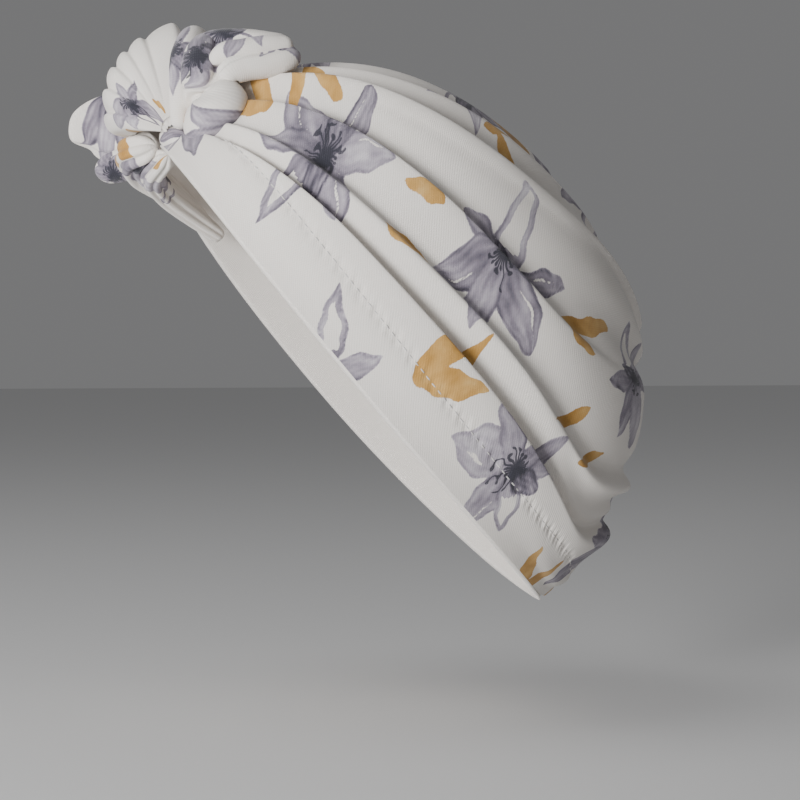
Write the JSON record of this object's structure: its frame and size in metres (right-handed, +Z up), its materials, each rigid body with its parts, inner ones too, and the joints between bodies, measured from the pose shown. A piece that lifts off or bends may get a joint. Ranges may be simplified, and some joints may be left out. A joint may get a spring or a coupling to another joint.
{
  "type": "knotted turban head wrap",
  "caption": "Pre-tied full turban head wrap in printed jersey: pleated panels, ruched crown seam, elastic hem and a front knot with soft tie ends.",
  "frame": {"origin": "middle of the head opening, in the plane of the rim", "axes": "worn upright: -Y the way the face looks, +X the wearer's left, +Z up; the rim is tilted 50 degrees, low at the nape"},
  "size_m": [0.1506, 0.2023, 0.2043],
  "materials": {
    "printed_jersey": "matte cream cotton jersey with a grey-lavender and ochre flower print",
    "sewing_thread": "polyester sewing thread",
    "braided_elastic": "white braided elastic"
  },
  "bodies": {
    "cap": {"left_panel": "printed_jersey", "right_panel": "printed_jersey", "left_hem": "printed_jersey", "right_hem": "printed_jersey", "hem_elastic": "braided_elastic", "hem_stitching": "sewing_thread", "crown_seam": "printed_jersey", "crown_seam_thread": "sewing_thread", "ruching_elastic": "braided_elastic", "gather_stitching": "sewing_thread", "left_tie_root": "printed_jersey", "right_tie_root": "printed_jersey", "knot_wrap": "printed_jersey", "knot_loop": "printed_jersey", "knot_tacks": "sewing_thread"},
    "rear_end": {"rear_tie_end": "printed_jersey"},
    "front_end": {"front_tie_end": "printed_jersey"}
  },
  "joints": [
    {"name": "rear_end_lift", "type": "hinge", "parent": "cap", "child": "rear_end", "pos_m": [0.028, -0.0484, 0.10559], "axis": [1, 0, 0], "range_deg": [-3, 60]},
    {"name": "front_end_lift", "type": "hinge", "parent": "cap", "child": "front_end", "pos_m": [-0.03, -0.07826, 0.08315], "axis": [-1, 0, 0], "range_deg": [-20, 60]}
  ]
}
